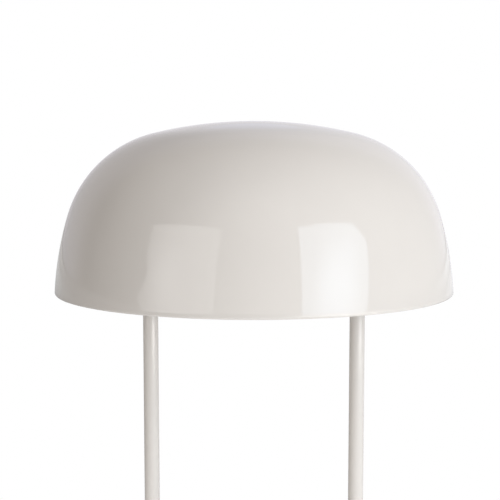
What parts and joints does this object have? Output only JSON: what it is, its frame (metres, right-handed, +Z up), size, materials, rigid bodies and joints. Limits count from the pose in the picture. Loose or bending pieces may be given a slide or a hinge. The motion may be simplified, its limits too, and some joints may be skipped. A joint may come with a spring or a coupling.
{
  "type": "table lamp",
  "caption": "Table lamp with a glossy cream dome shade on slim parallel tube stems, a round weighted base with a push switch, and a screw-in bulb under the shade.",
  "frame": {"origin": "on the table under the middle of the base", "axes": "+Z up along the shade's axis, +X through both stems, front towards -Y, cable inlet at the back towards +Y"},
  "size_m": [0.3098, 0.3098, 0.43],
  "materials": {
    "cream_lacquer": "high-gloss cream lacquer with fine orange peel",
    "white_lacquer": "satin white lacquer",
    "zinc_steel": "zinc-plated, satin",
    "ballast_iron": "rough cast, painted dark",
    "black_sheet": "fine textured black powder coat",
    "rubber_foot": "matt black rubber",
    "cream_plastic": "satin cream plastic",
    "satin_nickel": "turned satin nickel",
    "block_plastic": "natural moulded plastic",
    "brass": "bright brass",
    "holder_plastic": "moulded off-white heat-proof plastic",
    "ceramic": "glazed white ceramic",
    "cap_nickel": "drawn nickel-plated cap",
    "cap_glaze": "black glazed insulator",
    "bulb_white": "white moulded housing",
    "board": "white circuit board",
    "opal": "opal diffuser",
    "wire_brown": "brown insulation",
    "wire_blue": "blue insulation",
    "wire_green": "green and yellow insulation"
  },
  "bodies": {
    "lamp": {"ballast_plate": "ballast_iron", "base_shell": "cream_lacquer", "block_screws": "zinc_steel", "bottom_cover": "black_sheet", "bottom_screws": "zinc_steel", "bridge": "white_lacquer", "cable_inlet_bush": "cream_plastic", "cable_inlet_nut": "cream_plastic", "centre_nipple": "zinc_steel", "centre_nut": "zinc_steel", "centre_washers": "zinc_steel", "earth_nut": "zinc_steel", "earth_screw": "zinc_steel", "earth_tag": "brass", "foot_ring": "rubber_foot", "holder_cap": "holder_plastic", "holder_centre_contact": "brass", "holder_grub_screw": "zinc_steel", "holder_insert": "ceramic", "holder_skirt": "holder_plastic", "holder_terminal_screws": "brass", "holder_terminals": "brass", "holder_thread_sleeve": "brass", "left_stem": "cream_lacquer", "right_stem": "cream_lacquer", "shade": "cream_lacquer", "shade_boss": "zinc_steel", "shade_lock_nut": "zinc_steel", "stem_foot_nipples": "zinc_steel", "stem_foot_nuts": "zinc_steel", "stem_foot_washers": "zinc_steel", "stem_top_nipples": "zinc_steel", "stem_top_nuts": "zinc_steel", "stem_top_washers": "zinc_steel", "switch_body": "satin_nickel", "switch_nut": "zinc_steel", "switch_spring": "zinc_steel", "switch_terminals": "brass", "terminal_block": "block_plastic", "terminal_screws": "brass", "wire_earth": "wire_green", "wire_live": "wire_brown", "wire_neutral": "wire_blue", "wire_switch_feed": "wire_brown"},
    "bulb_contact": {"bulb_tip": "brass"},
    "bulb": {"bulb_insulator": "cap_glaze", "bulb_screw_cap": "cap_nickel", "bulb_housing": "bulb_white", "bulb_led_board": "board", "bulb_driver_board": "board", "bulb_globe": "opal"},
    "button": {"switch_button": "cream_plastic"}
  },
  "joints": [
    {"name": "bulb_lift", "type": "slide", "parent": "lamp", "child": "bulb_contact", "axis": [0, 0, -1], "range_m": [0, 0.02]},
    {"name": "bulb_turn", "type": "hinge", "parent": "bulb_contact", "child": "bulb", "pos_m": [0, 0, 0.345], "axis": [0, 0, -1], "range_deg": [0, 1980]},
    {"name": "button_press", "type": "slide", "parent": "lamp", "child": "button", "axis": [0, 0, -1], "range_m": [0, 0.003], "stiffness_N_per_m": 400, "springref_m": -0.002, "deforming": ["switch_spring"]}
  ],
  "couplings": [
    {"joint": "bulb_lift", "follows": "bulb_turn", "m_per_rad": 0.00057751}
  ]
}
